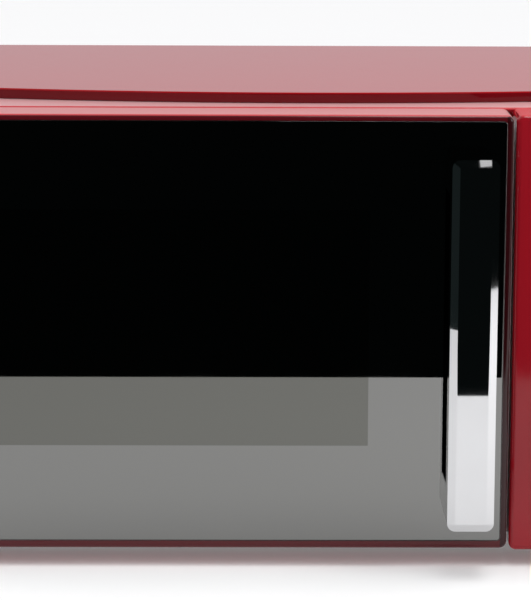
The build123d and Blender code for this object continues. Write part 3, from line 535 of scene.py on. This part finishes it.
def add_ring(mesh, centre, outer, inner, back_y, thickness, steps=48):
    """A flat ring standing proud of a front face."""
    for index in range(steps):
        first = 2 * math.pi * index / steps
        second = 2 * math.pi * (index + 1) / steps
        outline = []
        for radius, angle in ((outer, first), (outer, second), (inner, second), (inner, first)):
            outline.append((centre[0] + radius * math.cos(angle), centre[1] + radius * math.sin(angle)))
        add_prism(mesh, outline, back_y, thickness)


# ---- door screen with its holes ----------------------------------------------------------------
HOLE_PITCH = 2.6 * MM
HOLE_SHARE = 0.72  # of a cell's reach
SCREEN_THICK = 0.4 * MM
MICROMETRE = 1e-6


def perforated_screen():
    """The metal screen in the door window: six-sided holes in a close-packed grid."""
    low, high = corners("window_screen")
    pitch = HOLE_PITCH
    cell = pitch / math.sqrt(3)
    hole = HOLE_SHARE * cell
    row_step = 1.5 * cell
    mesh = bmesh.new()
    made = {}

    def corner_vert(x, z):
        key = (round(x / MICROMETRE), round(z / MICROMETRE))
        if key not in made:
            made[key] = mesh.verts.new((x, high.y, z))
        return made[key]

    rows = int((high.z - low.z - 2 * cell) / row_step)
    columns = int((high.x - low.x - 2 * pitch) / pitch)
    for row in range(rows + 1):
        z = low.z + cell + row * row_step
        shift = pitch / 2 if row % 2 else 0.0
        for column in range(columns + 1):
            x = low.x + pitch / 2 + shift + column * pitch
            outer = []
            inner = []
            for side in range(6):
                angle = math.radians(60 * side + 30)
                across, up = math.cos(angle), math.sin(angle)
                outer.append(corner_vert(x + cell * across, z + cell * up))
                inner.append(mesh.verts.new((x + hole * across, high.y, z + hole * up)))
            for side in range(6):
                after = (side + 1) % 6
                mesh.faces.new((outer[side], outer[after], inner[after], inner[side]))
    screen = make_piece("perforated_screen", mesh, ENAMEL, "door")
    skin = screen.modifiers.new("thickness", "SOLIDIFY")
    skin.thickness = SCREEN_THICK
    skin.offset = -1.0
    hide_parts("window_screen")


# ---- printed marks, display and trim -----------------------------------------------------------
PRINT_THICK = 0.12 * MM


def button_marks():
    """One plain pictogram on each button."""
    for node in BUTTONS:
        low, high = corners(node)
        centre = Vector(((low.x + high.x) / 2, (low.z + high.z) / 2))
        mesh = bmesh.new()
        if node == "menu_button":
            for step in (-1, 0, 1):
                middle = centre + Vector((0, 2.2 * MM * step))
                add_prism(mesh, bar(middle, 8 * MM, 0.8 * MM, 0), low.y, PRINT_THICK)
        elif node == "defrost_button":
            for degrees in (0, 60, 120):
                add_prism(mesh, bar(centre, 7.5 * MM, 0.7 * MM, degrees), low.y, PRINT_THICK)
        elif node == "power_button":
            for step in range(4):
                foot = centre + Vector(((step - 1.5) * 2.2 * MM, (0.9 * step - 1.6) * MM))
                add_prism(mesh, bar(foot, (2.0 + 1.4 * step) * MM, 1.1 * MM, 90), low.y, PRINT_THICK)
        elif node == "clock_button":
            add_ring(mesh, centre, 3.9 * MM, 3.2 * MM, low.y, PRINT_THICK, 32)
            long_hand = bar(centre + Vector((0, 1.1 * MM)), 2.2 * MM, 0.6 * MM, 90)
            short_hand = bar(centre + Vector((0.9 * MM, 0)), 1.8 * MM, 0.6 * MM, 0)
            add_prism(mesh, long_hand, low.y, PRINT_THICK)
            add_prism(mesh, short_hand, low.y, PRINT_THICK)
        elif node == "stop_button":
            add_prism(mesh, bar(centre, 6 * MM, 6 * MM, 0), low.y, PRINT_THICK)
        else:
            reach = 4 * MM
            triangle = [
                centre + Vector((reach, 0)),
                centre + Vector((-reach * 0.7, reach * 0.9)),
                centre + Vector((-reach * 0.7, -reach * 0.9)),
            ]
            add_prism(mesh, triangle, low.y, PRINT_THICK)
        make_piece(node.replace("button", "mark"), mesh, PRINT, node)


TICKS = 11
TICK_SWEEP = 270  # degrees, the first tick at the lower left and the last at the lower right
TICK_WIDTH = 0.8 * MM
TICK_GAP = 5 * MM  # from the dial to the middle of a tick


def dial_trim():
    """A scale of ticks printed round the dial, and a bright collar at its foot."""
    low, high = corners("control_dial")
    insert_low, _ = corners("control_insert")
    centre = Vector(((low.x + high.x) / 2, (low.z + high.z) / 2))
    radius = (high.x - low.x) / 2
    mesh = bmesh.new()
    for step in range(TICKS):
        degrees = 90 + TICK_SWEEP // 2 - TICK_SWEEP // (TICKS - 1) * step
        out = Vector((math.cos(math.radians(degrees)), math.sin(math.radians(degrees))))
        length = (1.4 + 0.16 * step) * MM
        tick = bar(centre + out * (radius + TICK_GAP), length, TICK_WIDTH, degrees)
        add_prism(mesh, tick, insert_low.y, PRINT_THICK)
    make_piece("dial_scale", mesh, PRINT, "oven")
    mesh = bmesh.new()
    add_ring(mesh, centre, radius + 1.6 * MM, radius + 0.5 * MM, insert_low.y, 0.9 * MM, 72)
    make_piece("dial_collar", mesh, CHROME, "oven")


SEGMENTS = {"0": "abcdef", "1": "bc", "2": "abdeg"}
READING = ((-1.65, "1"), (-0.65, "2"), (0.65, "0"), (1.65, "0"))  # place in steps from the middle, digit


def display_digits():
    """A seven-segment clock reading on the lens."""
    low, high = corners("display_lens")
    digit_height, digit_width, stroke = 13 * MM, 7.5 * MM, 1.4 * MM
    step = 12.5 * MM
    centre = Vector(((low.x + high.x) / 2, (low.z + high.z) / 2))
    half = digit_height / 2
    places = {
        "a": ((0, half), digit_width, 0),
        "b": ((digit_width / 2, half / 2), half, 90),
        "c": ((digit_width / 2, -half / 2), half, 90),
        "d": ((0, -half), digit_width, 0),
        "e": ((-digit_width / 2, -half / 2), half, 90),
        "f": ((-digit_width / 2, half / 2), half, 90),
        "g": ((0, 0), digit_width, 0),
    }
    mesh = bmesh.new()
    for position, digit in READING:
        for segment in SEGMENTS[digit]:
            offset, length, degrees = places[segment]
            middle = centre + Vector((position * step, 0)) + Vector(offset)
            add_prism(mesh, bar(middle, length - stroke * 1.2, stroke, degrees), low.y, PRINT_THICK)
    for side in (-1, 1):
        dot = bar(centre + Vector((0, side * half / 2.4)), stroke, stroke, 0)
        add_prism(mesh, dot, low.y, PRINT_THICK)
    lit = glow("digits", (0.2, 0.75, 0.6), 0.9)
    make_piece("display_digits", mesh, lit, "oven")


perforated_screen()
button_marks()
dial_trim()
display_digits()


# ---- floor, cards and lights -------------------------------------------------------------------
def stage_sheet(name, points, look):
    data = bpy.data.meshes.new(name)
    data.from_pydata(points, [], [tuple(range(len(points)))])
    shape = bpy.data.objects.new(name, data)
    bpy.context.scene.collection.objects.link(shape)
    data.materials.append(look)
    return shape


def stage_look(name, colour, roughness, specular, glow_colour, glow_strength):
    made = new_material(name, colour, roughness)
    shader = shader_of(made)
    shader.inputs["Specular IOR Level"].default_value = specular
    shader.inputs["Emission Color"].default_value = (*glow_colour, 1.0)
    shader.inputs["Emission Strength"].default_value = glow_strength
    return made


FLOOR_REACH = 6.0
FLOOR_GLOW = 0.13
floor_corners = [
    (across * FLOOR_REACH, deep * FLOOR_REACH, 0) for across, deep in ((-1, -1), (1, -1), (1, 1), (-1, 1))
]
floor_look = stage_look("floor", (0.93, 0.93, 0.93), 0.8, 0.2, (1.0, 1.0, 1.0), FLOOR_GLOW)
stage_sheet("floor", floor_corners, floor_look)

# Two dark cards in front of the oven, seen in reflections alone. They stand for a dark room, and the
# left one is a little less dark.
CARD_Y = FACE_Y - 0.52
CARD_TOP = 1.6
CARD_REACH = 4
CARD_SPLIT = -0.33
CARD_TINT = (0.7, 1.0, 1.0)
for card_name, left, right, card_glow in (
    ("dark_card", CARD_SPLIT, CARD_REACH, 0.005),
    ("dim_card", -CARD_REACH, CARD_SPLIT, 0.02),
):
    card_corners = [
        (left, CARD_Y, 0),
        (right, CARD_Y, 0),
        (right, CARD_Y, CARD_TOP),
        (left, CARD_Y, CARD_TOP),
    ]
    card_look = stage_look(card_name, (0.0, 0.0, 0.0), 1.0, 0.0, CARD_TINT, card_glow)
    card = stage_sheet(card_name, card_corners, card_look)
    card.visible_camera = False
    card.visible_diffuse = False
    card.visible_shadow = False
    card.visible_transmission = False

# A sky that is greyer near the horizon.
SKY = (
    (0.14, (0.5, 0.5, 0.52, 1)),
    (0.45, (0.92, 0.92, 0.93, 1)),
)
world = bpy.data.worlds.new("studio")
bpy.context.scene.world = world
world.use_nodes = True
sky = world.node_tree
background = sky.nodes["Background"]
background.inputs["Strength"].default_value = 1.0
sky_place = sky.nodes.new("ShaderNodeTexCoord")
sky_split = sky.nodes.new("ShaderNodeSeparateXYZ")
sky_ramp = sky.nodes.new("ShaderNodeValToRGB")
sky.links.new(sky_place.outputs["Generated"], sky_split.inputs["Vector"])
sky.links.new(sky_split.outputs["Z"], sky_ramp.inputs["Fac"])
sky.links.new(sky_ramp.outputs["Color"], background.inputs["Color"])
for stop, (height, colour) in zip(sky_ramp.color_ramp.elements, SKY):
    stop.position = height
    stop.color = colour


def soft_light(name, position, aim, size, power):
    """A rectangular light, its size in metres and its power in watts."""
    data = bpy.data.lights.new(name, "AREA")
    data.shape = "RECTANGLE"
    data.size, data.size_y = size
    data.energy = power
    lamp = bpy.data.objects.new(name, data)
    bpy.context.scene.collection.objects.link(lamp)
    direction = Vector(aim) - Vector(position)
    lamp.rotation_euler = direction.to_track_quat("-Z", "Y").to_euler()
    lamp.location = position


soft_light("overhead", position=(0.35, -0.15, 1.5), aim=(0.1, -0.1, 0), size=(1.6, 0.5), power=12)
soft_light("side", position=(0.8, -0.5, 0.5), aim=(0.3, -0.35, 0), size=(0.3, 0.3), power=1.7)
# The small lamp that glints on the handle's upper bevel.
soft_light(
    "glint",
    position=(0.1412, -0.571, 0.622),
    aim=(0.093, -0.189, 0.2305),
    size=(0.0085, 0.006),
    power=0.00015,
)

view = bpy.context.scene.view_settings
view.view_transform = "Standard"
view.look = "None"
